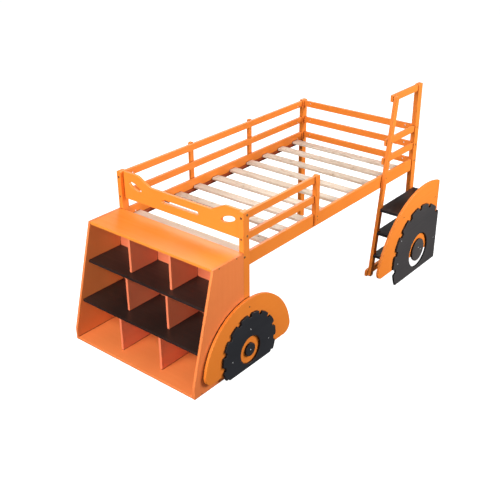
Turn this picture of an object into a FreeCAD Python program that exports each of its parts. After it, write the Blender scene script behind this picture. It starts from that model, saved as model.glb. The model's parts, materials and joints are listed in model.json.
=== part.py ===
"""Twin-size low loft bed styled as a construction vehicle.

Frame: +X runs from the bookcase (head) to the foot end, +Y to the wall side, +Z up.
The steps and the decorative wheels are on the -Y side. Origin: bottom centre of the whole bed.
All sizes are millimetres. Below, positions are written in the bed's working coordinates, where
X = 0 is the front face of the head posts, Y = 0 the middle of the bed and Z = 0 the floor;
they are shifted to the final origin when each piece is exported.
"""
import FreeCAD
import Part
import math
import os
from collections import defaultdict

# ---------------------------------------------------------------- driving dimensions
BED_W = 1060.0            # over the outer faces of the posts
BED_L = 2066.0            # front of the head posts to the outside of the foot posts
POST_X, POST_Y = 56.0, 36.0
POST_H = 1046.0           # three low posts
CAB_H = 1352.0            # tall post of the cab
RAIL_T, RAIL_H = 20.0, 48.0
TOP_RAIL_Z, MID_RAIL_Z, LOW_RAIL_Z = 990.0, 855.0, 727.0
SIDE_RAIL_Z, SIDE_RAIL_H = 683.0, 92.0
SLAT_COUNT, SLAT_W, SLAT_T = 10, 68.0, 18.0
SLAT_FIRST_X, SLAT_PITCH, SLAT_TOP_Z = 124.0, 199.0, 725.0
LEDGE_W, LEDGE_H = 18.0, 18.0
CASE_T = 18.0             # bookcase boards
CASE_H, CASE_TOP_D, CASE_FOOT_D, CASE_KNEE_Z = 786.0, 268.0, 463.0, 81.0
BACK_X, BACK_T = -30.0, 12.0
SHELF_LOW_Z, SHELF_UP_Z = 256.0, 512.0
SHELF_LOW_D, SHELF_UP_D = 388.0, 308.0
FENDER_T, WHEEL_T = 19.0, 14.0
SPACER_T = 5.0            # stands the head fender off the bookcase side
STEP_DEPTH = 196.0        # posts' outer face to the inside of the foot fender
TREAD_T = 22.0
TREAD_TOPS = (177.0, 354.0, 531.0)
LEAN_SLOPE = 0.1475       # run per rise of the leaning cab post
LEAN_X0, LEAN_W, LEAN_T = 1463.0, 40.0, 26.0
EASE = 2.5                # eased edges of the boards
BOLT_HEAD_R, BOLT_HEAD_T, BOLT_R = 7.5, 3.0, 3.0
BOLT_HOLE_R, BOLT_SEAT_R = 3.3, 7.8
SOCKET_R, SOCKET_DEPTH = 2.6, 2.0
NUT_R, NUT_HOLE_R, NUT_FROM_TIP = 5.0, 5.2, 6.0
NUT_HOLE_T = RAIL_T - 3.0                # blind holes, open towards the inside of the bed
SCREW_HEAD_R, SCREW_HEAD_T, SCREW_R = 4.5, 2.5, 2.0
SCREW_HOLE_R, SCREW_SEAT_R = 2.1, 4.7

# ---------------------------------------------------------------- derived positions
Y_OUT = BED_W / 2.0                      # outer faces of the posts
Y_IN = Y_OUT - POST_Y                    # inner faces of the posts
RAIL_OUT = Y_OUT - (POST_Y - RAIL_T) / 2.0   # rails sit in the middle of the posts
RAIL_IN = RAIL_OUT - RAIL_T
RAIL_MID = (RAIL_OUT + RAIL_IN) / 2.0
FOOT_X = BED_L - POST_X                  # inner faces of the foot posts
FAR_POST_T = 20.0
LEAN_OUT = -RAIL_OUT - LEAN_T            # outer face of the leaning post
FENDER_IN = -Y_OUT - STEP_DEPTH
FENDER_OUT = FENDER_IN - FENDER_T
FOOT_WHEEL_OUT = FENDER_OUT - WHEEL_T
X_MIN, X_MAX = -CASE_FOOT_D, BED_L
Y_MIN, Y_MAX = FOOT_WHEEL_OUT, RAIL_OUT + FAR_POST_T
ORIGIN = FreeCAD.Vector((X_MIN + X_MAX) / 2.0, (Y_MIN + Y_MAX) / 2.0, 0.0)

V = FreeCAD.Vector
pieces = {}
holes = defaultdict(list)
bolts, nuts, screws = [], [], []


# ---------------------------------------------------------------- shape helpers
def box(x0, x1, y0, y1, z0, z1):
    """Plain block between two corners."""
    return Part.makeBox(x1 - x0, y1 - y0, z1 - z0, V(x0, y0, z0))


def board(x0, x1, y0, y1, z0, z1, ease=EASE):
    """Sawn board with every edge eased."""
    blank = box(x0, x1, y0, y1, z0, z1)
    return blank.makeFillet(ease, blank.Edges)


def edges_along(shape, axis, keep=lambda p: True):
    """Straight edges parallel to an axis whose midpoint passes the test."""
    found = []
    for e in shape.Edges:
        a, b = e.Vertexes[0].Point, e.Vertexes[-1].Point
        d = b - a
        if d.Length > 1e-6 and abs(abs(d.dot(axis)) / d.Length - 1.0) < 1e-6 and keep((a + b) * 0.5):
            found.append(e)
    return found


def plate_xz(points, y0, y1):
    """Flat panel cut to an outline in the XZ plane."""
    wire = Part.makePolygon([V(x, y0, z) for x, z in points] + [V(points[0][0], y0, points[0][1])])
    return Part.Face(wire).extrude(V(0, y1 - y0, 0))


def plate_yz(points, x0, x1):
    """Flat panel cut to an outline in the YZ plane."""
    wire = Part.makePolygon([V(x0, y, z) for y, z in points] + [V(x0, points[0][0], points[0][1])])
    return Part.Face(wire).extrude(V(x1 - x0, 0, 0))


def soften(shape, radius, edges):
    """Round the given edges."""
    return shape.makeFillet(radius, edges)


def rod(start, direction, length, radius):
    return Part.makeCylinder(radius, length, start, direction)


# ---------------------------------------------------------------- fasteners
def bolt(head, direction, length, seat, nut_in, inward):
    """Socket-head connector bolt, its head flush in the seat board, screwed into a barrel nut.

    nut_in is the rail that holds the barrel nut, in a hole drilled from the bed's inner side.
    """
    shank_start = head + direction * BOLT_HEAD_T
    body = rod(head, direction, BOLT_HEAD_T, BOLT_HEAD_R)
    body = body.fuse(rod(shank_start, direction, length - BOLT_HEAD_T, BOLT_R))
    bolts.append(body.cut(rod(head, direction, SOCKET_DEPTH, SOCKET_R)))
    holes[seat].append(rod(head, direction, BOLT_HEAD_T, BOLT_SEAT_R))
    for node in (seat, nut_in):
        holes[node].append(rod(head, direction, length + 2.0, BOLT_HOLE_R))
    mouth = head + direction * (length - NUT_FROM_TIP) + inward * (RAIL_T / 2.0)
    holes[nut_in].append(rod(mouth, inward * -1.0, NUT_HOLE_T, NUT_HOLE_R))
    barrel = rod(mouth - inward, inward * -1.0, NUT_HOLE_T - 2.0, NUT_R)
    nuts.append(barrel.cut(rod(head, direction, length, BOLT_R)))


def screw(head, direction, length, seat):
    """Flat-head wood screw, its head flush in the first of the boards that it joins."""
    shank_start = head + direction * SCREW_HEAD_T
    body = rod(head, direction, SCREW_HEAD_T, SCREW_HEAD_R)
    screws.append(body.fuse(rod(shank_start, direction, length - SCREW_HEAD_T, SCREW_R)))
    for node in seat:
        holes[node].append(rod(head, direction, SCREW_HEAD_T, SCREW_SEAT_R))
        holes[node].append(rod(head, direction, length + 1.0, SCREW_HOLE_R))


# ---------------------------------------------------------------- posts
def post(x0, y0, height):
    """Upright post, long edges eased and the top rounded over."""
    p = box(x0, x0 + POST_X, y0, y0 + POST_Y, 0.0, height)
    p = soften(p, 3.0, edges_along(p, V(0, 0, 1)))
    top = [e for e in p.Edges if min(v.Z for v in e.Vertexes) > height - 1e-3]
    return soften(p, 6.0, top)


def build_posts():
    pieces["head_post_near"] = post(0.0, -Y_OUT, POST_H)
    pieces["head_post_far"] = post(0.0, Y_IN, POST_H)
    pieces["foot_post_near"] = post(FOOT_X, -Y_OUT, CAB_H)
    pieces["foot_post_far"] = post(FOOT_X, Y_IN, POST_H)


# ---------------------------------------------------------------- long sides
def build_side_rails():
    """Deep side rails with a ledge inside each one for the slats."""
    for side, sign in (("near", -1.0), ("far", 1.0)):
        lo, hi = sorted((sign * RAIL_OUT, sign * RAIL_IN))
        pieces["side_rail_" + side] = board(POST_X, FOOT_X, lo, hi, SIDE_RAIL_Z, SIDE_RAIL_Z + SIDE_RAIL_H)
        lo, hi = sorted((sign * RAIL_IN, sign * (RAIL_IN - LEDGE_W)))
        top = SLAT_TOP_Z - SLAT_T
        pieces["slat_ledge_" + side] = board(POST_X, FOOT_X, lo, hi, top - LEDGE_H, top, 1.5)


def build_slats():
    half = RAIL_IN - 2.0
    for i in range(SLAT_COUNT):
        x0 = SLAT_FIRST_X + SLAT_PITCH * i - SLAT_W / 2.0
        slat = board(x0, x0 + SLAT_W, -half, half, SLAT_TOP_Z - SLAT_T, SLAT_TOP_Z)
        pieces["slat_%02d" % (i + 1)] = slat


GUARD_X0, GUARD_X1 = 727.0, 765.0        # near guard post
FAR_POSTS_X = (686.0, 1341.0)            # left edges of the two posts outside the far rails
FAR_POST_W = 37.0
GUARD_FOOT_Z, GUARD_LAP, GUARD_ROUND = 700.0, 14.0, 14.0


def build_guards():
    """Guard rails: a short pair on the step side, a full-length pair on the wall side."""
    for name, z in (("top", TOP_RAIL_Z), ("mid", MID_RAIL_Z)):
        pieces["guard_rail_near_" + name] = board(POST_X, GUARD_X0, -RAIL_OUT, -RAIL_IN, z, z + RAIL_H)
        pieces["guard_rail_far_" + name] = board(POST_X, FOOT_X, RAIL_IN, RAIL_OUT, z, z + RAIL_H)
    # the near guard post is notched at the foot and laps over the outside of the side rail
    g = box(GUARD_X0, GUARD_X1, -RAIL_OUT - GUARD_LAP, -RAIL_IN, GUARD_FOOT_Z, POST_H)
    g = soften(g, GUARD_ROUND, edges_along(g, V(0, 1, 0), lambda p: p.z > POST_H - 1.0))
    g = soften(g, 2.0, edges_along(g, V(0, 0, 1)))
    notch = box(GUARD_X0 - 5, GUARD_X1 + 5, -RAIL_OUT, 0.0, 0.0, SIDE_RAIL_Z + SIDE_RAIL_H)
    pieces["guard_post_near"] = g.cut(notch)
    for i, x in enumerate(FAR_POSTS_X):
        p = box(x, x + FAR_POST_W, RAIL_OUT, RAIL_OUT + FAR_POST_T, GUARD_FOOT_Z, POST_H)
        p = soften(p, GUARD_ROUND, edges_along(p, V(0, 1, 0), lambda q: q.z > POST_H - 1.0))
        pieces["guard_post_far_%d" % (i + 1)] = soften(p, 2.0, edges_along(p, V(0, 0, 1)))


# ---------------------------------------------------------------- head and foot ends
HEAD_PANEL_X, HEAD_PANEL_T = 26.0, 20.0
SHOULDER_Z, DIP_Z, PANEL_FOOT_Z = 1042.0, 986.0, 856.0
DIP_HALF, SHOULDER_Y = 258.0, 365.0
SHOULDER_ROUND, DIP_ROUND = 60.0, 40.0
LAMP_Y, LAMP_Z, LAMP_HALF_W, LAMP_HALF_H, LAMP_TILT = 391.0, 957.5, 57.0, 20.0, 20.0
SLOT_Z, SLOT_R, SLOT_HALF = 924.5, 12.0, 141.0
HEAD_LOW_RAIL_X = 0.0


def lamp_cutter(side):
    """Slanting ellipse through the headboard, its outer end raised."""
    rim = Part.Ellipse(V(0, 0, 0), LAMP_HALF_W, LAMP_HALF_H).toShape()
    lamp = Part.Face(Part.Wire([rim])).extrude(V(0, 0, 3.0 * HEAD_PANEL_T))
    lamp.rotate(V(0, 0, 0), V(1, 0, 0), 90)      # ellipse now in the XZ plane
    lamp.rotate(V(0, 0, 0), V(0, 0, 1), 90)      # and now in the YZ plane
    lamp.rotate(V(0, 0, 0), V(1, 0, 0), side * LAMP_TILT)
    lamp.translate(V(HEAD_PANEL_X - HEAD_PANEL_T, side * LAMP_Y, LAMP_Z))
    return lamp


def build_headboard():
    """Front panel of the vehicle's hood: two raised shoulders, two headlight holes and a slot."""
    outline = [(-Y_IN, PANEL_FOOT_Z), (Y_IN, PANEL_FOOT_Z), (Y_IN, SHOULDER_Z), (SHOULDER_Y, SHOULDER_Z),
               (DIP_HALF, DIP_Z), (-DIP_HALF, DIP_Z), (-SHOULDER_Y, SHOULDER_Z), (-Y_IN, SHOULDER_Z)]
    panel = plate_yz(outline, HEAD_PANEL_X, HEAD_PANEL_X + HEAD_PANEL_T)

    def corner(y, z):
        return edges_along(panel, V(1, 0, 0), lambda p: abs(p.z - z) < 1.0 and abs(abs(p.y) - y) < 1.0)
    panel = soften(panel, SHOULDER_ROUND, corner(SHOULDER_Y, SHOULDER_Z))
    panel = soften(panel, DIP_ROUND, corner(DIP_HALF, DIP_Z))
    x0, x1 = HEAD_PANEL_X - 5.0, HEAD_PANEL_X + HEAD_PANEL_T + 5.0
    slot = box(x0, x1, -SLOT_HALF, SLOT_HALF, SLOT_Z - SLOT_R, SLOT_Z + SLOT_R)
    for sign in (-1.0, 1.0):
        panel = panel.cut(lamp_cutter(sign))
        slot = slot.fuse(rod(V(x0, sign * SLOT_HALF, SLOT_Z), V(1, 0, 0), x1 - x0, SLOT_R))
    pieces["headboard_panel"] = panel.cut(slot.removeSplitter())
    pieces["head_low_rail"] = board(HEAD_LOW_RAIL_X, HEAD_LOW_RAIL_X + RAIL_T, -Y_IN, Y_IN,
                                    LOW_RAIL_Z, LOW_RAIL_Z + RAIL_H)


def build_foot_rails():
    x0 = FOOT_X + (POST_X - RAIL_T) / 2.0
    for name, z in (("top", TOP_RAIL_Z), ("mid", MID_RAIL_Z), ("low", LOW_RAIL_Z)):
        pieces["foot_rail_" + name] = board(x0, x0 + RAIL_T, -Y_IN, Y_IN, z, z + RAIL_H)


# ---------------------------------------------------------------- cab frame and steps
def lean_edge(z):
    """X of the leaning post's forward edge at height z."""
    return LEAN_X0 + LEAN_SLOPE * z


CROSSBAR_Z, LEAN_TOP_Z = 1301.0, 1344.0
LEAN_WIDE = LEAN_W * math.hypot(1.0, LEAN_SLOPE)      # width of the leaning post measured along X


def build_cab():
    """Leaning post in front of four rails that run back to the tall foot post."""
    foot, head = lean_edge(0.0), lean_edge(LEAN_TOP_Z)
    outline = [(foot, 0.0), (foot + LEAN_WIDE, 0.0), (head + LEAN_WIDE, LEAN_TOP_Z), (head, LEAN_TOP_Z)]
    lean = plate_xz(outline, LEAN_OUT, -RAIL_OUT)
    lean = soften(lean, 11.0, edges_along(lean, V(0, 1, 0)))
    upright = [e for e in lean.Edges if e.BoundBox.YLength < 1e-6 and e.BoundBox.ZLength > 1000.0]
    pieces["cab_leaning_post"] = soften(lean, 2.0, upright)
    for name, z, out in (("cab_crossbar", CROSSBAR_Z, 7.0), ("cab_rail_top", TOP_RAIL_Z, 7.0),
                         ("cab_rail_mid", MID_RAIL_Z, 6.0)):
        x0 = lean_edge(z + RAIL_H / 2.0) - out
        pieces[name] = board(x0, FOOT_X, -RAIL_OUT, -RAIL_IN, z, z + RAIL_H)
    s = box(foot - 6.0, FOOT_X, -RAIL_OUT, -RAIL_IN, 0.0, RAIL_H)
    s = soften(s, 18.0, edges_along(s, V(0, 1, 0), lambda p: p.x < FOOT_X - 10.0 and p.z > 10.0))
    pieces["cab_floor_stretcher"] = s


def build_treads():
    """Three open steps, each notched around the leaning post and carried by the posts and fender."""
    for name, top in zip(("tread_bottom", "tread_middle", "tread_top"), TREAD_TOPS):
        base = top - TREAD_T
        x0 = lean_edge(top - TREAD_T / 2.0)
        t = box(x0, BED_L, FENDER_IN, -Y_OUT, base, top)
        t = soften(t, 4.0, edges_along(t, V(0, 1, 0), lambda p: p.x < x0 + 1.0))
        notch_x = lean_edge(top) + LEAN_WIDE + 2.0
        pieces[name] = t.cut(box(x0 - 20.0, notch_x, LEAN_OUT, -Y_OUT + 5.0, base - 5.0, top + 5.0))


# ---------------------------------------------------------------- wheels and fenders
TOOTH_COUNT = 15
HEAD_WHEEL_C, HEAD_WHEEL_R, HEAD_WINDOW_R, HEAD_HUB_R = (14.0, 121.0), 255.0, 95.0, 45.0
FOOT_WHEEL_C, FOOT_WHEEL_R, FOOT_WINDOW_R, FOOT_HUB_R = (1786.0, 169.0), 360.0, 135.0, 88.0
HEAD_NOTCH_DEG, HEAD_NOTCH_W, HEAD_NOTCH_D, HEAD_TIP_R = 17.6, 36.0, 22.0, 7.0
FOOT_NOTCH_DEG, FOOT_NOTCH_W, FOOT_NOTCH_D, FOOT_TIP_R = 20.4, 44.0, 30.0, 9.0
HEAD_FENDER_C, HEAD_FENDER_R, HEAD_FENDER_Z, HEAD_FENDER_ROUND = (25.0, 58.0), 419.0, 48.0, 65.0
HEAD_TONGUE = (-75.0, 92.0, 20.0)        # fills the lower part of the wheel's window
FOOT_FENDER_C, FOOT_FENDER_R, FOOT_FENDER_Z = (1864.0, 22.0), 655.0, 136.0
FAR_OUT = 3000.0          # beyond every piece of the bed


def disc(centre, y_out, radius, thick):
    """Round plate with its outer face at y_out."""
    return rod(V(centre[0], y_out, centre[1]), V(0, 1, 0), thick, radius)


def notched_disc(centre, y_out, radius, hole_r, first_notch_deg, notch_w, notch_d):
    """Round plate with slots around its rim and a round window in the middle."""
    cx, cz = centre
    stations = ((radius - notch_d, notch_w * 0.36), (radius + 20.0, notch_w * 0.5 + 6.0))
    cutters = [disc(centre, y_out, hole_r, WHEEL_T)]
    for k in range(TOOTH_COUNT):
        ang = math.radians(first_notch_deg + 360.0 / TOOTH_COUNT * k)
        out, across = (math.cos(ang), math.sin(ang)), (-math.sin(ang), math.cos(ang))
        inner, outer = stations
        corners = [(inner[0], -inner[1]), (outer[0], -outer[1]), outer, inner]
        slot = [(cx + r * out[0] + w * across[0], cz + r * out[1] + w * across[1]) for r, w in corners]
        cutters.append(plate_xz(slot, y_out - 5.0, y_out + WHEEL_T + 5.0))
    return disc(centre, y_out, radius, WHEEL_T).cut(cutters)


def trimmed(plate, x_max, z_min):
    """Cut a plate off at its foot-end side and at its lower edge."""
    return plate.common(box(-FAR_OUT, x_max, -FAR_OUT, FAR_OUT, z_min, FAR_OUT))


def round_teeth(wheel, centre, radius, r):
    """Round the tips of the teeth."""
    def at_rim(p):
        return abs(math.hypot(p.x - centre[0], p.z - centre[1]) - radius) < 0.5 and p.z > 2.0
    return soften(wheel, r, edges_along(wheel, V(0, 1, 0), at_rim))


HEAD_FENDER_OUT = -Y_OUT - SPACER_T - FENDER_T
HEAD_WHEEL_OUT = HEAD_FENDER_OUT - WHEEL_T


def build_head_wheel():
    """Fixed decorative front wheel: fender on a spacer, ring and hub on the fender."""
    x0, x1, low = HEAD_TONGUE
    fender = disc(HEAD_FENDER_C, HEAD_FENDER_OUT, HEAD_FENDER_R, FENDER_T)
    fender = trimmed(fender, FAR_OUT, HEAD_FENDER_Z)
    corners = edges_along(fender, V(0, 1, 0), lambda p: p.z < HEAD_FENDER_Z + 1.0)
    fender = soften(fender, HEAD_FENDER_ROUND, corners)
    tongue = box(x0, x1, HEAD_FENDER_OUT, HEAD_FENDER_OUT + FENDER_T, low, HEAD_FENDER_Z + 5.0)
    spacer = disc(HEAD_FENDER_C, HEAD_FENDER_OUT + FENDER_T, HEAD_FENDER_R - 12.0, SPACER_T)
    spacer = trimmed(spacer, FAR_OUT, HEAD_FENDER_Z + 30.0)
    pieces["head_fender"] = fender.fuse([tongue, spacer]).removeSplitter()
    wheel = notched_disc(HEAD_WHEEL_C, HEAD_WHEEL_OUT, HEAD_WHEEL_R, HEAD_WINDOW_R,
                         HEAD_NOTCH_DEG, HEAD_NOTCH_W, HEAD_NOTCH_D)
    wheel = trimmed(wheel, FAR_OUT, 0.0)
    pieces["head_wheel"] = round_teeth(wheel, HEAD_WHEEL_C, HEAD_WHEEL_R, HEAD_TIP_R)
    pieces["head_hub"] = disc(HEAD_WHEEL_C, HEAD_WHEEL_OUT, HEAD_HUB_R, WHEEL_T)


def build_foot_wheel():
    """Fixed decorative rear wheel: the fender stands at the outer ends of the treads."""
    fender = disc(FOOT_FENDER_C, FENDER_OUT, FOOT_FENDER_R, FENDER_T)
    fender = trimmed(fender, BED_L, FOOT_FENDER_Z)
    toe = edges_along(fender, V(0, 1, 0), lambda p: p.x < 1500.0)
    fender = soften(fender, 48.0, toe)
    heel = edges_along(fender, V(0, 1, 0), lambda p: p.x > BED_L - 1.0 and p.z > 500.0)
    pieces["foot_fender"] = soften(fender, 14.0, heel)
    wheel = notched_disc(FOOT_WHEEL_C, FOOT_WHEEL_OUT, FOOT_WHEEL_R, FOOT_WINDOW_R,
                         FOOT_NOTCH_DEG, FOOT_NOTCH_W, FOOT_NOTCH_D)
    wheel = trimmed(wheel, BED_L, 0.0)
    pieces["foot_wheel"] = round_teeth(wheel, FOOT_WHEEL_C, FOOT_WHEEL_R, FOOT_TIP_R)
    pieces["foot_hub"] = disc(FOOT_WHEEL_C, FOOT_WHEEL_OUT, FOOT_HUB_R, WHEEL_T)


# ---------------------------------------------------------------- bookcase
CASE_IN = Y_OUT - CASE_T                 # inner faces of the bookcase sides
BAY = (2.0 * CASE_IN - 2.0 * CASE_T) / 3.0


def build_bookcase():
    """Sloping case of nine cubbies; every row is as deep as the board above it."""
    side = [(-CASE_TOP_D, CASE_H), (-CASE_FOOT_D, CASE_KNEE_Z), (-CASE_FOOT_D, 0.0), (0.0, 0.0),
            (0.0, CASE_H)]
    for name, y0 in (("near", -Y_OUT), ("far", CASE_IN)):
        s = plate_xz(side, y0, y0 + CASE_T)
        front = [e for e in s.Edges if e.BoundBox.YLength < 1e-6 and e.BoundBox.XMax < -1.0]
        pieces["bookcase_side_" + name] = soften(s, 2.0, front)
    pieces["bookcase_top"] = board(-CASE_TOP_D, 0.0, -CASE_IN, CASE_IN, CASE_H - CASE_T, CASE_H, 2.0)
    pieces["bookcase_bottom"] = board(-CASE_FOOT_D, 0.0, -CASE_IN, CASE_IN, 0.0, CASE_T, 2.0)
    pieces["bookcase_back"] = box(BACK_X, BACK_X + BACK_T, -CASE_IN, CASE_IN, CASE_T, CASE_H - CASE_T)
    for name, depth, z in (("lower", SHELF_LOW_D, SHELF_LOW_Z), ("upper", SHELF_UP_D, SHELF_UP_Z)):
        pieces["shelf_" + name] = board(-depth, BACK_X, -CASE_IN, CASE_IN, z, z + CASE_T, 1.5)
    rows = (("bottom", SHELF_LOW_D - 7.0, CASE_T, SHELF_LOW_Z),
            ("middle", SHELF_UP_D - 7.0, SHELF_LOW_Z + CASE_T, SHELF_UP_Z),
            ("top", CASE_TOP_D - 10.0, SHELF_UP_Z + CASE_T, CASE_H - CASE_T))
    for row, depth, z0, z1 in rows:
        for name, y0 in (("near", -BAY / 2.0 - CASE_T), ("far", BAY / 2.0)):
            pieces["divider_%s_%s" % (row, name)] = box(-depth, BACK_X, y0, y0 + CASE_T, z0, z1)


# ---------------------------------------------------------------- fastener layout
ALONG_X, ALONG_Y = V(1, 0, 0), V(0, 1, 0)
BOLT_INTO_RAIL = 66.0     # how far a bolt runs on into the rail behind the post
SIDE_BOLT_ZS = (SIDE_RAIL_Z + 22.0, SIDE_RAIL_Z + 50.0)
GUARD_BOLT_UP, CROSSBAR_BOLT_UP = 16.0, 24.0     # above the lower edge of each rail


def fasten_long_sides():
    """Connector bolts through the end posts into the ends of the long rails."""
    length = POST_X + BOLT_INTO_RAIL
    for side, sign in (("near", -1.0), ("far", 1.0)):
        y = sign * RAIL_MID
        deep = [("side_rail_" + side, z) for z in SIDE_BOLT_ZS]
        guards = [("guard_rail_%s_top" % side, TOP_RAIL_Z + GUARD_BOLT_UP),
                  ("guard_rail_%s_mid" % side, MID_RAIL_Z + GUARD_BOLT_UP)]
        cab = [("cab_crossbar", CROSSBAR_Z + CROSSBAR_BOLT_UP), ("cab_rail_top", TOP_RAIL_Z + GUARD_BOLT_UP),
               ("cab_rail_mid", MID_RAIL_Z + GUARD_BOLT_UP), ("cab_floor_stretcher", RAIL_H / 2.0)]
        for rail, z in deep + guards:
            bolt(V(0, y, z), ALONG_X, length, "head_post_" + side, rail, ALONG_Y * -sign)
        for rail, z in deep + (cab if side == "near" else guards):
            bolt(V(BED_L, y, z), -ALONG_X, length, "foot_post_" + side, rail, ALONG_Y * -sign)
    for rail, z in (("guard_rail_near_top", TOP_RAIL_Z + RAIL_H / 2.0),
                    ("guard_rail_near_mid", MID_RAIL_Z + RAIL_H / 2.0)):
        head = V(GUARD_X1, -RAIL_MID, z)
        bolt(head, -ALONG_X, GUARD_X1 - GUARD_X0 + 50.0, "guard_post_near", rail, ALONG_Y)


def fasten_ends():
    """Connector bolts through the posts into the headboard and the rails across the two ends."""
    length = POST_Y + BOLT_INTO_RAIL
    panel_x, low_x = HEAD_PANEL_X + HEAD_PANEL_T / 2.0, HEAD_LOW_RAIL_X + RAIL_T / 2.0
    foot_x = BED_L - POST_X / 2.0
    joints = (("head", panel_x, 1020.0, "headboard_panel"), ("head", panel_x, 885.0, "headboard_panel"),
              ("head", low_x, 757.0, "head_low_rail"), ("foot", foot_x, 1020.0, "foot_rail_top"),
              ("foot", foot_x, 885.0, "foot_rail_mid"), ("foot", foot_x, 757.0, "foot_rail_low"))
    for side, sign in (("near", -1.0), ("far", 1.0)):
        for end, x, z, rail in joints:
            post_name = "%s_post_%s" % (end, side)
            inward = ALONG_X if end == "head" else -ALONG_X
            bolt(V(x, sign * Y_OUT, z), ALONG_Y * -sign, length, post_name, rail, inward)


def screw_frame():
    """Screws through the leaning post and the lapped guard posts."""
    for rail, z in (("cab_crossbar", CROSSBAR_Z + 24.0), ("cab_rail_top", TOP_RAIL_Z + 24.0),
                    ("cab_rail_mid", MID_RAIL_Z + 27.0), ("side_rail_near", SIDE_RAIL_Z + 74.0),
                    ("cab_floor_stretcher", RAIL_H / 2.0)):
        head = V(lean_edge(z) + LEAN_WIDE / 2.0, LEAN_OUT, z)
        screw(head, ALONG_Y, LEAN_T + 16.0, ["cab_leaning_post", rail])
    for z in (SIDE_RAIL_Z + 75.0, SIDE_RAIL_Z + 50.0):
        head = V((GUARD_X0 + GUARD_X1) / 2.0, -RAIL_OUT - GUARD_LAP, z)
        screw(head, ALONG_Y, 30.0, ["guard_post_near", "side_rail_near"])
    for i, x in enumerate(FAR_POSTS_X):
        for rail, z in (("guard_rail_far_top", TOP_RAIL_Z + 24.0), ("guard_rail_far_mid", MID_RAIL_Z + 24.0),
                        ("side_rail_far", SIDE_RAIL_Z + 72.0), ("side_rail_far", SIDE_RAIL_Z + 42.0)):
            head = V(x + FAR_POST_W / 2.0, RAIL_OUT + FAR_POST_T, z)
            screw(head, -ALONG_Y, 36.0, ["guard_post_far_%d" % (i + 1), rail])


def screw_panels():
    """Screws through the bookcase sides, the fenders and the wheels."""
    top_z = CASE_H - CASE_T / 2.0
    for side, sign in (("near", -1.0), ("far", 1.0)):
        for x, z, panel in ((-218.0, top_z, "bookcase_top"), (-63.0, top_z, "bookcase_top"),
                            (-400.0, CASE_T / 2.0, "bookcase_bottom")):
            screw(V(x, sign * Y_OUT, z), ALONG_Y * -sign, 45.0, ["bookcase_side_" + side, panel])
    screw(V(24.0, HEAD_FENDER_OUT, 420.0), ALONG_Y, 50.0, ["head_fender", "head_post_near"])
    for x in (1544.0, 2015.0):
        screw(V(x, FENDER_OUT, TREAD_TOPS[2] - TREAD_T / 2.0), ALONG_Y, 45.0, ["foot_fender", "tread_top"])
    reach = WHEEL_T + FENDER_T - 3.0
    for x, z in ((17.0, 268.0), (194.0, 116.0), (-156.0, 116.0)):
        screw(V(x, HEAD_WHEEL_OUT, z), ALONG_Y, reach, ["head_wheel", "head_fender"])
    screw(V(HEAD_WHEEL_C[0], HEAD_WHEEL_OUT, HEAD_WHEEL_C[1]), ALONG_Y, reach, ["head_hub", "head_fender"])
    for x, z in ((1514.0, 347.0), (1484.0, 171.0), (2030.0, 180.0)):
        screw(V(x, FOOT_WHEEL_OUT, z), ALONG_Y, reach, ["foot_wheel", "foot_fender"])
    for x, z in ((1787.0, 189.0), (1823.0, 162.0)):
        screw(V(x, FOOT_WHEEL_OUT, z), ALONG_Y, reach, ["foot_hub", "foot_fender"])


# ---------------------------------------------------------------- build and export
build_posts()
build_side_rails()
build_slats()
build_guards()
build_headboard()
build_foot_rails()
build_cab()
build_treads()
build_head_wheel()
build_foot_wheel()
build_bookcase()
fasten_long_sides()
fasten_ends()
screw_frame()
screw_panels()

for node, cutters in holes.items():
    pieces[node] = pieces[node].cut(cutters)
pieces["frame_bolts"] = Part.makeCompound(bolts)
pieces["barrel_nuts"] = Part.makeCompound(nuts)
pieces["panel_screws"] = Part.makeCompound(screws)

os.makedirs("parts", exist_ok=True)
for node, shape in pieces.items():
    shape.translate(ORIGIN * -1.0)
    shape.exportStep("parts/%s.step" % node)
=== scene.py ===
"""Looks of a child's low loft bed shaped like a construction vehicle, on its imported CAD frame."""
import json
import math

import bmesh
import bpy
from mathutils import Matrix, Vector


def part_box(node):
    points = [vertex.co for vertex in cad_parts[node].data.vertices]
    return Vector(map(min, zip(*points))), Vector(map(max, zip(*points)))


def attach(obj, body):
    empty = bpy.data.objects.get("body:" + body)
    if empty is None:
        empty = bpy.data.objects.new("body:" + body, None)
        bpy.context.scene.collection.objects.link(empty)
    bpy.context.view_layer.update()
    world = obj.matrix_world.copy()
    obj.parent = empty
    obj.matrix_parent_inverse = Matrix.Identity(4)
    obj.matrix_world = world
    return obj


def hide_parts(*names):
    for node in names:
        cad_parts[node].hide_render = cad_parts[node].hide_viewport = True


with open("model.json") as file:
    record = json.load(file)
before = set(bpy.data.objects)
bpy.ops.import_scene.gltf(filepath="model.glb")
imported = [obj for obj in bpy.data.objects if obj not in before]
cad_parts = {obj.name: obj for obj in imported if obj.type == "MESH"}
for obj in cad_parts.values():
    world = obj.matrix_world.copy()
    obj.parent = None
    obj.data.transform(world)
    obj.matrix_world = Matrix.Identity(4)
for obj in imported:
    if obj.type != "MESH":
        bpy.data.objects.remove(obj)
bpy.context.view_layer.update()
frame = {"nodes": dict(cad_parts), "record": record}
NODES = frame["nodes"]
MM = 0.001

FENDER_T = 19.0 * MM
SPACER_T = 5.0 * MM
SPACER_RIM = 0.3 * MM         # rounding of the spacer's rim
HEAD_SIDE = 2.2 * MM          # a fastener head: depth of its straight side, then of its underside
HEAD_UNDER = 3.2 * MM
BOLT_SIDES = 36               # facets round a bolt or screw, and round a barrel nut
NUT_SIDES = 32
NUT_LENGTH = 15.0 * MM        # the barrel nuts' own length, which tells which way each one lies
NUT_SLOT_DEPTH = 1.2 * MM


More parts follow.
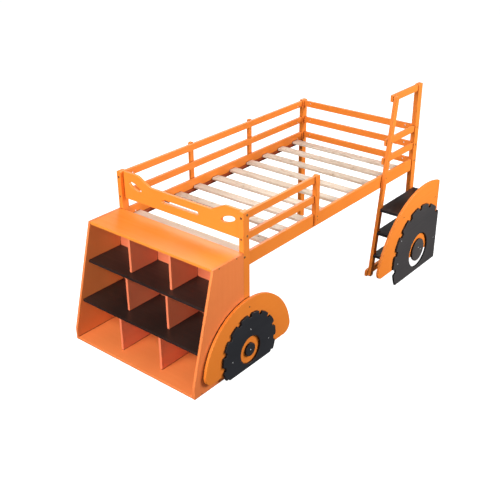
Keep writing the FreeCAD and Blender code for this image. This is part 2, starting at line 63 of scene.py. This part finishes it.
# ------------------------------------------------------------------ shader building
class Shader:
    """A node material, with one call per shader node. Inputs are numbers, colours or sockets."""

    def __init__(self, name):
        self.material = bpy.data.materials.new(name)
        self.material.use_nodes = True
        self.tree = self.material.node_tree
        self.surface = self.tree.nodes["Principled BSDF"]

    def node(self, kind, inputs=None, **settings):
        made = self.tree.nodes.new("ShaderNode" + kind)
        for key, value in settings.items():
            setattr(made, key, value)
        for key, value in (inputs or {}).items():
            self.put(made.inputs[key], value)
        return made.outputs[0]

    def put(self, socket, value):
        if isinstance(value, bpy.types.NodeSocket):
            self.tree.links.new(value, socket)
        else:
            socket.default_value = value

    def set(self, **inputs):
        for key, value in inputs.items():
            self.put(self.surface.inputs[key.replace("_", " ")], value)

    def math(self, operation, a, b=0.0):
        return self.node("Math", {0: a, 1: b}, operation=operation)

    def span(self, value, low, high, to_low=0.0, to_high=1.0):
        """Smoothly maps low..high of a value to another span."""
        ramp = {"Value": value, "From Min": low, "From Max": high,
                "To Min": to_low, "To Max": to_high}
        return self.node("MapRange", ramp, interpolation_type="SMOOTHSTEP")

    def mix(self, factor, a, b):
        made = self.tree.nodes.new("ShaderNodeMix")
        made.data_type = "RGBA"
        self.put(made.inputs[0], factor)
        self.put(made.inputs[6], a)
        self.put(made.inputs[7], b)
        return made.outputs[2]

    def place(self, offset, scale):
        """Object coordinates in metres, shifted and stretched."""
        coords = self.tree.nodes.new("ShaderNodeTexCoord").outputs["Object"]
        return self.node("Mapping", {"Vector": coords, "Location": offset, "Scale": scale})

    def noise(self, vector, scale=1.0, detail=3.0, roughness=0.5, distortion=0.0):
        inputs = {"Vector": vector, "Scale": scale, "Detail": detail, "Roughness": roughness,
                  "Distortion": distortion}
        return self.node("TexNoise", inputs)

    def bump(self, height, depth, strength=1.0, under=None):
        inputs = {"Height": height, "Distance": depth, "Strength": strength}
        if under is not None:
            inputs["Normal"] = under
        return self.node("Bump", inputs)

    def side_normal(self):
        """How squarely a surface faces across the bed, along Y."""
        split = self.tree.nodes.new("ShaderNodeSeparateXYZ")
        self.put(split.inputs[0], self.tree.nodes.new("ShaderNodeNewGeometry").outputs["Normal"])
        return split.outputs["Y"]

    def crevice(self, reach):
        """1 on open surfaces, falling towards 0 where pieces meet."""
        self.node("AmbientOcclusion", {"Distance": reach}, samples=8)
        return self.tree.nodes[-1].outputs["AO"]

    def edge(self, radius):
        """Near 1 on the object's edges and near 0 on its flat faces."""
        worn = self.node("Bevel", {"Radius": radius}, samples=6)
        flat = self.tree.nodes.new("ShaderNodeNewGeometry").outputs["Normal"]
        dot = self.tree.nodes.new("ShaderNodeVectorMath")
        dot.operation = "DOT_PRODUCT"
        self.put(dot.inputs[0], worn)
        self.put(dot.inputs[1], flat)
        return self.span(dot.outputs["Value"], 0.995, 0.80)


# ------------------------------------------------------------------ materials
GRAIN = {"x": (1.6, 42.0, 42.0), "y": (42.0, 1.6, 42.0), "z": (42.0, 42.0, 1.6)}
EVEN = (1.0, 1.0, 1.0)
# Painted shade: the dark red-brown that the orange paint is darkened towards where pieces meet.
CREVICE_SHADE = (0.16, 0.020, 0.006, 1.0)
ORANGE = (0.865, 0.243, 0.030, 1.0)
ORANGE_DEEP = (0.810, 0.218, 0.026, 1.0)
# Painted shade: the slat ledges are orange like the rails, but take this dark red for the shade
# under the slats.
LEDGE_SHADE = (0.330, 0.058, 0.012, 1.0)
LEDGE_SHADE_DEEP = (0.260, 0.042, 0.010, 1.0)
ORANGE_RUBBED = (0.950, 0.400, 0.120, 1.0)
BLACK = (0.024, 0.023, 0.025, 1.0)
BLACK_DEEP = (0.017, 0.016, 0.018, 1.0)
HEAD_WHEEL = (0.027, 0.028, 0.033, 1.0)
HEAD_WHEEL_DEEP = (0.019, 0.020, 0.024, 1.0)
# Painted sheen: the foot wheel and hub use the head wheel's black, lightened to stand in for a
# glossy reflection.
FOOT_WHEEL_WITH_SHEEN = (0.055, 0.050, 0.050, 1.0)
FOOT_WHEEL_DEEP_WITH_SHEEN = (0.043, 0.040, 0.041, 1.0)
FOOT_HUB_WITH_SHEEN = (0.080, 0.070, 0.068, 1.0)
CASE = (0.850, 0.232, 0.062, 1.0)
CASE_DEEP = (0.790, 0.205, 0.056, 1.0)
# Painted light: the bookcase's top board gets a yellower copy of the case orange, standing in for
# its lit top face.
CASE_TOP_LIT = (0.840, 0.262, 0.036, 1.0)
CASE_TOP_LIT_DEEP = (0.790, 0.236, 0.031, 1.0)
PANEL = (0.840, 0.215, 0.098, 1.0)
PANEL_DEEP = (0.780, 0.190, 0.088, 1.0)
# Near black for painted shade: the black parts' crevices, the wheels' and hubs' rims and their
# rubbed edges are darkened towards it.
BLACK_EDGE_AND_SHADE = (0.004, 0.004, 0.005, 1.0)
SHELF = (0.028, 0.016, 0.013, 1.0)
SHELF_DEEP = (0.018, 0.010, 0.008, 1.0)
SHELF_RIM = (0.050, 0.056, 0.064, 1.0)
STEP_RIM = (0.020, 0.017, 0.017, 1.0)


def painted_wood(name, along, seed, light, dark, worn, gloss=0.42, wear=0.45, crevice_shade_strength=0.85,
                 crevice_shade_colour=CREVICE_SHADE, shaded_rim=None):
    """Satin paint over sanded wood: faint grain under the film, roller texture, rubbed edges,
    painted shade where pieces meet and, when a rim colour is given, painted shade on rims that face
    away from Y.
    """
    s = Shader(name)
    offset = (seed * 3.1, seed * 1.7, seed * 2.3)
    even = s.place(offset, EVEN)
    grain = s.noise(s.place(offset, GRAIN[along]), 1.0, 5.0, 0.62, 0.3)
    pores = s.noise(s.place(offset, tuple(6.0 * g for g in GRAIN[along])), 1.0, 2.0, 0.5)
    cloud = s.noise(even, 3.0, 3.0, 0.5)
    peel = s.noise(even, 520.0, 2.0, 0.5)
    body = s.mix(s.span(cloud, 0.3, 0.7), dark, light)
    body = s.mix(s.span(grain, 0.35, 0.62, 0.0, 0.30), body, dark)
    body = s.mix(s.span(pores, 0.66, 0.78, 0.0, 0.25), body, dark)
    patchy = s.span(s.noise(even, 60.0, 4.0, 0.6), 0.42, 0.66)
    rub = s.math("MULTIPLY", s.edge(0.004), patchy)
    body = s.mix(s.math("MULTIPLY", rub, wear), body, worn)
    # Painted shade: ambient occlusion within 12 mm darkens the base colour in corners and joints.
    corner = s.crevice(0.012)
    body = s.mix(s.span(corner, 0.80, 0.40, 0.0, crevice_shade_strength), body, crevice_shade_colour)
    # Painted shade: faces turned away from Y, the rims of the wheels and hubs, are darkened towards
    # the given rim colour.
    if shaded_rim is not None:
        facing = s.math("ABSOLUTE", s.side_normal(), 0.0)
        body = s.mix(s.span(facing, 0.75, 0.45), body, shaded_rim)
    rough = s.math("ADD", s.span(grain, 0.3, 0.7, gloss - 0.05, gloss + 0.05),
                   s.math("MULTIPLY", rub, 0.14))
    normal = s.bump(grain, 0.0004, 0.35)
    normal = s.bump(pores, 0.00025, 0.25, normal)
    normal = s.bump(peel, 0.00006, 0.5, normal)
    s.set(Base_Color=body, Roughness=rough, Specular_IOR_Level=0.34, Normal=normal)
    return s.material


def bare_pine(name, seed):
    """Sawn pine, its rings running along Y, with soft early wood and a knot here and there."""
    s = Shader(name)
    offset = (seed * 0.37, seed * 0.83, seed * 0.11)
    drift = s.noise(s.place(offset, (9.0, 0.9, 9.0)), 1.0, 3.0, 0.5)
    wander = s.node("VectorMath", {0: s.place(offset, (38.0, 0.5, 26.0)), 1: s.node("CombineXYZ", {
        "X": s.math("MULTIPLY", drift, 16.0)})}, operation="ADD")
    rings = s.node("TexWave", {"Vector": wander, "Scale": 0.55, "Distortion": 1.4, "Detail": 2.0},
                   wave_type="BANDS", bands_direction="X")
    fibre = s.noise(s.place(offset, (300.0, 6.0, 300.0)), 1.0, 4.0, 0.6)
    cells = s.node("TexVoronoi", {"Vector": s.place(offset, (4.2, 2.9, 0.0)), "Scale": 1.0},
                   voronoi_dimensions="2D")
    knot = s.span(cells, 0.026, 0.010)
    halo = s.span(cells, 0.12, 0.02)
    late = s.span(rings, 0.62, 0.96)
    body = s.mix(s.span(drift, 0.3, 0.7), (0.80, 0.69, 0.57, 1.0), (0.62, 0.50, 0.39, 1.0))
    body = s.mix(s.math("MULTIPLY", late, 0.60), body, (0.50, 0.34, 0.22, 1.0))
    body = s.mix(s.span(fibre, 0.45, 0.75, 0.0, 0.22), body, (0.50, 0.38, 0.28, 1.0))
    body = s.mix(s.math("MULTIPLY", halo, 0.35), body, (0.45, 0.29, 0.17, 1.0))
    body = s.mix(knot, body, (0.17, 0.085, 0.04, 1.0))
    normal = s.bump(fibre, 0.0003, 0.5)
    normal = s.bump(late, 0.0004, 0.3, normal)
    s.set(Base_Color=body, Roughness=s.span(fibre, 0.3, 0.7, 0.55, 0.72), Specular_IOR_Level=0.3,
          Normal=normal)
    return s.material


def steel(name, light, dark, rough):
    """Plated or blackened steel with fine tool marks."""
    s = Shader(name)
    fleck = s.noise(s.place((0.0, 0.0, 0.0), EVEN), 900.0, 2.0)
    marks = s.noise(s.place((0.0, 0.0, 0.0), (2400.0, 300.0, 300.0)), 1.0, 2.0)
    rub = s.edge(0.0005)
    body = s.mix(s.span(fleck, 0.35, 0.65), dark, light)
    polished = tuple(min(1.0, 1.8 * c) for c in light[:3]) + (1.0,)
    body = s.mix(s.math("MULTIPLY", rub, 0.5), body, polished)
    s.set(Base_Color=body, Metallic=1.0, Roughness=s.span(marks, 0.3, 0.7, rough, rough + 0.16),
          Normal=s.bump(marks, 0.00003, 0.4))
    return s.material


def longest(node):
    """The axis that a board's grain follows."""
    lo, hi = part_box(node)
    size = hi - lo
    return "xyz"[max(range(3), key=lambda i: size[i])]


def finish_for(node, seed):
    """The paint or bare wood of a CAD node, by its slot and its place on the bed."""
    slot, name, along = SLOT_OF[node], node + "_paint", longest(node)
    if slot == "orange_panel":
        return painted_wood(name, along, seed, PANEL, PANEL_DEEP, ORANGE_RUBBED)
    # Painted shade: the orange ledges take a dark red that stands for the shade under the slats.
    if node.startswith("slat_ledge"):
        return painted_wood(name, along, seed, LEDGE_SHADE, LEDGE_SHADE_DEEP, ORANGE_RUBBED)
    # Painted light: the top board takes a yellower, lit copy of the case orange.
    if node == "bookcase_top":
        return painted_wood(name, along, seed, CASE_TOP_LIT, CASE_TOP_LIT_DEEP, ORANGE_RUBBED)
    if slot == "orange_paint" and node.startswith("bookcase"):
        return painted_wood(name, along, seed, CASE, CASE_DEEP, ORANGE_RUBBED)
    if slot == "orange_paint":
        return painted_wood(name, along, seed, ORANGE, ORANGE_DEEP, ORANGE_RUBBED)
    if slot == "black_paint" and node.startswith("tread"):
        return painted_wood(name, along, seed, BLACK, BLACK_DEEP, STEP_RIM, 0.40, crevice_shade_colour=BLACK_EDGE_AND_SHADE)
    # Painted shade: the wheels' and hubs' edges and rims are darkened towards near black.
    if slot == "black_paint" and node.startswith("head"):
        return painted_wood(name, along, seed, HEAD_WHEEL, HEAD_WHEEL_DEEP, BLACK_EDGE_AND_SHADE, 0.46, 0.95,
                            crevice_shade_colour=BLACK_EDGE_AND_SHADE, shaded_rim=BLACK_EDGE_AND_SHADE)
    if slot == "black_paint":
        # Painted sheen: the foot wheel and its hub get a lighter black than the head wheel.
        light = FOOT_HUB_WITH_SHEEN if node == "foot_hub" else FOOT_WHEEL_WITH_SHEEN
        return painted_wood(name, along, seed, light, FOOT_WHEEL_DEEP_WITH_SHEEN, BLACK_EDGE_AND_SHADE, 0.46, 0.95,
                            crevice_shade_colour=BLACK_EDGE_AND_SHADE, shaded_rim=BLACK_EDGE_AND_SHADE)
    if slot == "black_shelf":
        return painted_wood(name, along, seed, SHELF, SHELF_DEEP, SHELF_RIM, 0.36, 0.9,
                            crevice_shade_colour=BLACK_EDGE_AND_SHADE)
    return bare_pine("pine_" + node, seed)


# ------------------------------------------------------------------ mesh building
def new_piece(name, build, materials, node):
    """Makes a mesh object from a bmesh; it stands for a CAD node and rides on the bed."""
    mesh = bpy.data.meshes.new(name)
    build.to_mesh(mesh)
    build.free()
    for material in materials:
        mesh.materials.append(material)
    obj = bpy.data.objects.new(name, mesh)
    bpy.context.scene.collection.objects.link(obj)
    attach(obj, "root")
    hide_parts(node)
    return obj


def welded(node):
    """A CAD node's mesh with the seams between its faces closed."""
    build = bmesh.new()
    build.from_mesh(NODES[node].data)
    bmesh.ops.remove_doubles(build, verts=build.verts, dist=1e-5)
    return build


def outline_loops(node, axis, level):
    """The closed outlines, holes included, of a flat plate's face at one level of an axis."""
    build = welded(node)
    cap = {f for f in build.faces if all(abs(v.co[axis] - level) < 1e-5 for v in f.verts)}
    following = {}
    for face in cap:
        for loop in face.loops:
            if sum(f in cap for f in loop.edge.link_faces) == 1:
                following[loop.vert.index] = loop.link_loop_next.vert.index
    build.verts.ensure_lookup_table()
    loops = []
    while following:
        ring, here = [], next(iter(following))
        while here in following:
            ring.append(build.verts[here].co.copy())
            here = following.pop(here)
        loops.append(ring)
    build.free()
    return loops


def tidy_ring(ring, least):
    """Drops points that lie closer together than a rim can be rounded."""
    kept = [ring[0]]
    for point in ring[1:]:
        if (point - kept[-1]).length > least:
            kept.append(point)
    if len(kept) > 3 and (kept[0] - kept[-1]).length < least:
        kept.pop()
    return kept


def add_plate(build, loops, axis, thick, rim):
    """Adds a flat plate with its front and back rims rounded over to a bmesh."""
    front = []
    for ring in loops:
        verts = [build.verts.new(p) for p in tidy_ring(ring, 0.0006)]
        front += [build.edges.new((verts[k - 1], verts[k])) for k in range(len(verts))]
    filled = bmesh.ops.triangle_fill(build, use_beauty=True, edges=front)["geom"]
    faces = [g for g in filled if isinstance(g, bmesh.types.BMFace)]
    grown = bmesh.ops.extrude_face_region(build, geom=faces, use_keep_orig=True)["geom"]
    moved = [g for g in grown if isinstance(g, bmesh.types.BMVert)]
    step = Vector((0.0, 0.0, 0.0))
    step[axis] = thick
    bmesh.ops.translate(build, verts=moved, vec=step)
    mine = {f for f in build.faces if not f.tag}
    bmesh.ops.recalc_face_normals(build, faces=list(mine))
    build.normal_update()
    flat = [f for f in mine if abs(f.normal[axis]) > 0.99]
    rims = {e for f in flat for e in f.edges
            if any(abs(g.normal[axis]) < 0.5 for g in e.link_faces)}
    bmesh.ops.bevel(build, geom=list(rims), offset=rim, segments=3, profile=0.5, affect="EDGES",
                    clamp_overlap=False)
    for face in build.faces:
        face.smooth = True
        face.tag = True


def rounded_plate(node, axis, rim, seed):
    """A plate cut to the CAD node's outline; a node made in two layers keeps its step."""
    lo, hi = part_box(node)
    build = bmesh.new()
    layers = LAYERS.get(node, ((0.0, hi[axis] - lo[axis]),))
    for number, (start, end) in enumerate(layers):
        if number == 0:
            add_plate(build, outline_loops(node, axis, lo[axis] + start), axis, end - start, rim)
        else:
            add_plate(build, outline_loops(node, axis, lo[axis] + end), axis, start - end,
                      SPACER_RIM)
    obj = new_piece(node + "_plate", build, [finish_for(node, seed)], node)
    obj.data.set_sharp_from_angle(angle=math.radians(35.0))
    weighted = obj.modifiers.new("normals", "WEIGHTED_NORMAL")
    weighted.keep_sharp = True
    return obj


def islands(node):
    """Each separate solid of a CAD node, as a list of its points."""
    build = welded(node)
    left = set(build.verts)
    found = []
    while left:
        group, edge = [], [left.pop()]
        while edge:
            vert = edge.pop()
            group.append(vert.co.copy())
            for link in vert.link_edges:
                other = link.other_vert(vert)
                if other in left:
                    left.discard(other)
                    edge.append(other)
        found.append(group)
    build.free()
    return sorted(found, key=lambda g: tuple(round(c, 4) for c in sum(g, Vector()) / len(g)))


def shank_of(points):
    """Head centre, direction into the wood, length and head radius of a bolt or screw."""
    lo = Vector([min(p[i] for p in points) for i in range(3)])
    hi = Vector([max(p[i] for p in points) for i in range(3)])
    size, middle = hi - lo, (lo + hi) / 2.0
    axis = max(range(3), key=lambda i: size[i])

    def reach(end):
        return max((Vector([p[i] - middle[i] if i != axis else 0.0 for i in range(3)]).length
                    for p in points if abs(p[axis] - end) < 1e-4), default=0.0)
    head_low = reach(lo[axis]) > reach(hi[axis])
    head = middle.copy()
    head[axis] = lo[axis] if head_low else hi[axis]
    way = Vector((0.0, 0.0, 0.0))
    way[axis] = 1.0 if head_low else -1.0
    return head, way, size[axis], max(reach(lo[axis]), reach(hi[axis]))


def polygon(radius, corners):
    """Corners of a regular outline about the origin."""
    return [(radius * math.cos(2 * math.pi * k / corners),
             radius * math.sin(2 * math.pi * k / corners)) for k in range(corners)]


def cross(reach, half):
    """Outline of a cross recess, twelve corners."""
    quarter = [(reach, -half), (reach, half), (half, half)]
    points = []
    for k in range(4):
        c, s = round(math.cos(k * math.pi / 2)), round(math.sin(k * math.pi / 2))
        points += [(c * x - s * y, s * x + c * y) for x, y in quarter]
    return points


def add_fastener(build, head, way, length, radius, recess, depth, shank, slot):
    """Adds a flush-headed bolt or screw with a driver recess to a bmesh."""
    turn = Vector((0.0, 0.0, 1.0)).rotation_difference(way).to_matrix().to_4x4()
    place = Matrix.Translation(head) @ turn
    soft = 0.12 * radius
    profile = [(radius - soft, 0.0), (radius - 0.3 * soft, 0.3 * soft), (radius, soft),
               (radius, HEAD_SIDE), (shank, HEAD_UNDER), (shank, length - shank),
               (0.25 * shank, length)]
    around = BOLT_SIDES
    rings = [[build.verts.new(place @ Vector((x, y, z))) for x, y in polygon(r, around)]
             for r, z in profile]
    made = []
    for low, high in zip(rings, rings[1:]):
        made += [build.faces.new((low[k - 1], low[k], high[k], high[k - 1])) for k in range(around)]
    made.append(build.faces.new(rings[-1]))
    mouth = [build.verts.new(place @ Vector((x, y, 0.0))) for x, y in recess]
    rim = [build.edges.get((rings[0][k - 1], rings[0][k])) for k in range(around)]
    rim += [build.edges.new((mouth[k - 1], mouth[k])) for k in range(len(mouth))]
    made += [g for g in bmesh.ops.triangle_fill(build, use_beauty=True, edges=rim)["geom"]
             if isinstance(g, bmesh.types.BMFace)]
    well = [build.verts.new(place @ Vector((0.82 * x, 0.82 * y, depth))) for x, y in recess]
    count = len(mouth)
    made += [build.faces.new((mouth[k - 1], mouth[k], well[k], well[k - 1])) for k in range(count)]
    made.append(build.faces.new(well))
    for face in made:
        face.material_index = slot
        face.smooth = len(face.verts) == 4
    return made


def fasteners(node, name, recess_of, depth, shank, materials, slot_of):
    """Stands a modelled bolt or screw in for each plain one in a CAD node."""
    build = bmesh.new()
    for points in islands(node):
        head, way, length, radius = shank_of(points)
        add_fastener(build, head, way, length, radius, recess_of(radius), depth, shank,
                     slot_of(head, way))
    bmesh.ops.recalc_face_normals(build, faces=build.faces)
    obj = new_piece(name, build, materials, node)
    obj.data.set_sharp_from_angle(angle=math.radians(30.0))
    return obj


def on_black_plate(head, way):
    """True where a screw's head sits on a wheel or hub."""
    return any(abs(head.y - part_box(wheel)[0].y) < 2.0 * MM and way.y > 0.5
               for wheel in ("head_wheel", "foot_wheel"))


def barrel_nuts(node, name, material):
    """Cross dowels: a drum with softened ends and a driver slot across each end."""
    build = bmesh.new()
    for points in islands(node):
        lo = Vector([min(p[i] for p in points) for i in range(3)])
        hi = Vector([max(p[i] for p in points) for i in range(3)])
        size, middle = hi - lo, (lo + hi) / 2.0
        axis = 0 if abs(size.x - NUT_LENGTH) < 1e-4 else 1
        radius = 0.5 * max(size[i] for i in range(3) if i != axis)
        way = Vector([1.0 if i == axis else 0.0 for i in range(3)])
        turn = Vector((0.0, 0.0, 1.0)).rotation_difference(way).to_matrix().to_4x4()
        place = Matrix.Translation(middle) @ turn
        half, soft = size[axis] / 2.0, 0.4 * MM
        for end in (-1.0, 1.0):
            profile = [(radius, 0.0), (radius, end * (half - soft)), (radius - soft, end * half)]
            rings = [[build.verts.new(place @ Vector((x, y, z))) for x, y in polygon(r, NUT_SIDES)]
                     for r, z in profile]
            for low, high in zip(rings, rings[1:]):
                for k in range(NUT_SIDES):
                    build.faces.new((low[k - 1], low[k], high[k], high[k - 1]))
            mouth = [(-0.8 * radius, -0.5 * MM), (0.8 * radius, -0.5 * MM),
                     (0.8 * radius, 0.5 * MM), (-0.8 * radius, 0.5 * MM)]
            edge = [build.verts.new(place @ Vector((x, y, end * half))) for x, y in mouth]
            rim = [build.edges.get((rings[-1][k - 1], rings[-1][k])) for k in range(NUT_SIDES)]
            rim += [build.edges.new((edge[k - 1], edge[k])) for k in range(4)]
            bmesh.ops.triangle_fill(build, use_beauty=True, edges=rim)
            floor = end * (half - NUT_SLOT_DEPTH)
            well = [build.verts.new(place @ Vector((x, y, floor))) for x, y in mouth]
            for k in range(4):
                build.faces.new((edge[k - 1], edge[k], well[k], well[k - 1]))
            build.faces.new(well)
    bmesh.ops.remove_doubles(build, verts=build.verts, dist=1e-6)
    bmesh.ops.recalc_face_normals(build, faces=build.faces)
    for face in build.faces:
        face.smooth = len(face.verts) == 4
    obj = new_piece(name, build, [material], node)
    obj.data.set_sharp_from_angle(angle=math.radians(30.0))
    return obj


# ------------------------------------------------------------------ the bed
SLOT_OF = {p["node"]: p["material_slot"] for p in frame["record"]["subparts"]}
SEED = {node: number for number, node in enumerate(sorted(NODES))}
# Flat plates: the axis each is thin along (0 X, 1 Y, 2 Z) and the rounding of its rims in mm.
PLATES = {
    "head_fender": (1, 2.0), "foot_fender": (1, 2.0),
    "head_wheel": (1, 1.8), "foot_wheel": (1, 1.8),
    "head_hub": (1, 2.2), "foot_hub": (1, 2.2),
    "headboard_panel": (0, 3.0),
    "tread_top": (2, 2.5), "tread_middle": (2, 2.5), "tread_bottom": (2, 2.5),
}
# The head fender carries a spacer on its back: start and end of each layer, from its front.
LAYERS = {"head_fender": ((0.0, FENDER_T), (FENDER_T, FENDER_T + SPACER_T))}
for row in ("top", "middle", "bottom"):
    for side in ("near", "far"):
        PLATES["divider_%s_%s" % (row, side)] = (1, 1.2)

for node, (axis, rim) in PLATES.items():
    rounded_plate(node, axis, rim * MM, SEED[node])

BRONZED = steel("bronzed_steel", (0.30, 0.19, 0.11, 1.0), (0.16, 0.10, 0.06, 1.0), 0.42)
ZINC = steel("zinc_steel", (0.97, 0.97, 0.97, 1.0), (0.90, 0.90, 0.92, 1.0), 0.45)
fasteners("frame_bolts", "connector_bolts", lambda r: polygon(0.42 * r, 6), 2.0 * MM, 3.0 * MM,
          [BRONZED], lambda head, way: 0)
fasteners("panel_screws", "wood_screws", lambda r: cross(0.62 * r, 0.13 * r), 1.6 * MM,
          1.9 * MM, [BRONZED, ZINC], lambda head, way: 1 if on_black_plate(head, way) else 0)
barrel_nuts("barrel_nuts", "cross_dowels", ZINC)

for node, obj in NODES.items():
    if not obj.hide_render:
        obj.data.materials.clear()
        obj.data.materials.append(finish_for(node, SEED[node]))

# ------------------------------------------------------------------ stage, light and camera
def sweep():
    """A pale floor that curves up into a wall all round, as a photographer's cyclorama does."""
    flat, bend, height, around = 14.0, 4.0, 9.0, 96
    profile = [(flat, 0.0)]
    profile += [(flat + bend * math.sin(t), bend - bend * math.cos(t)) for t in
                (math.radians(10 * k) for k in range(1, 10))]
    profile.append((flat + bend, height))
    build = bmesh.new()
    rings = []
    for r, z in profile:
        rings.append([build.verts.new((r * math.cos(a), r * math.sin(a), z)) for a in
                      (2 * math.pi * k / around for k in range(around))])
    build.faces.new(rings[0])
    for low, high in zip(rings, rings[1:]):
        for k in range(around):
            build.faces.new((low[k - 1], low[k], high[k], high[k - 1]))
    mesh = bpy.data.meshes.new("sweep")
    build.to_mesh(mesh)
    for face in mesh.polygons:
        face.use_smooth = len(face.vertices) == 4
    s = Shader("sweep_white")
    s.set(Base_Color=(0.4, 0.4, 0.4, 1.0), Roughness=0.9, Emission_Color=(1.0, 1.0, 1.0, 1.0),
          Emission_Strength=1.0)
    mesh.materials.append(s.material)
    obj = bpy.data.objects.new("sweep", mesh)
    obj.location.z = -0.001
    obj.visible_diffuse = False
    obj.visible_glossy = False
    bpy.context.scene.collection.objects.link(obj)


def studio_world(low, high):
    """Even light from all round: a bright floor below and a dimmer room above."""
    world = bpy.data.worlds.new("studio")
    world.use_nodes = True
    tree = world.node_tree
    coords = tree.nodes.new("ShaderNodeTexCoord")
    split = tree.nodes.new("ShaderNodeSeparateXYZ")
    ramp = tree.nodes.new("ShaderNodeMapRange")
    ramp.inputs["From Min"].default_value = -0.05
    ramp.inputs["From Max"].default_value = 0.05
    ramp.inputs["To Min"].default_value = low
    ramp.inputs["To Max"].default_value = high
    tree.links.new(coords.outputs["Generated"], split.inputs[0])
    tree.links.new(split.outputs["Z"], ramp.inputs["Value"])
    tree.links.new(ramp.outputs[0], tree.nodes["Background"].inputs["Strength"])
    bpy.context.scene.world = world


sweep()
studio_world(0.95, 0.37)


def soft_box(name, at, aim, size, power):
    """A rectangular area light aimed at a point, its power in watts."""
    light = bpy.data.lights.new(name, "AREA")
    light.shape = "RECTANGLE"
    light.size, light.size_y = size
    light.energy = power
    obj = bpy.data.objects.new(name, light)
    obj.location = at
    obj.rotation_mode = "QUATERNION"
    obj.rotation_quaternion = (Vector(aim) - Vector(at)).to_track_quat("-Z", "Y")
    bpy.context.scene.collection.objects.link(obj)


soft_box("head_key", (-5.0, 0.0, 3.2), (0.0, 0.0, 0.5), (3.0, 3.0), 362.0)
soft_box("step_side", (2.8, -4.5, 2.5), (0.8, 0.0, 0.5), (3.0, 2.5), 374.0)
soft_box("ceiling", (-0.5, 0.0, 4.8), (-0.5, 0.0, 0.0), (4.0, 4.0), 60.0)
soft_box("low_front", (-4.2, -3.2, 1.2), (0.0, 0.0, 0.5), (3.0, 2.0), 43.0)
soft_box("back", (3.5, 3.0, 4.0), (0.0, 0.0, 0.5), (3.0, 3.0), 150.0)

CAMERA_AT = Vector((-4.0297, -3.1048, 2.9614))
CAMERA_AZIMUTH, CAMERA_ELEVATION, CAMERA_ROLL = -50.775, 27.139, -0.338
CAMERA_LENS, CAMERA_SENSOR = 58.21, 36.0      # mm
camera_data = bpy.data.cameras.new("camera")
camera_data.lens = CAMERA_LENS
camera_data.sensor_width = CAMERA_SENSOR
camera = bpy.data.objects.new("camera", camera_data)
turn = (Matrix.Rotation(math.radians(CAMERA_AZIMUTH), 4, "Z")
        @ Matrix.Rotation(math.radians(90.0 - CAMERA_ELEVATION), 4, "X")
        @ Matrix.Rotation(math.radians(CAMERA_ROLL), 4, "Z"))
camera.matrix_world = Matrix.Translation(CAMERA_AT) @ turn
bpy.context.scene.collection.objects.link(camera)
bpy.context.scene.camera = camera
bpy.context.scene.view_settings.view_transform = "Standard"
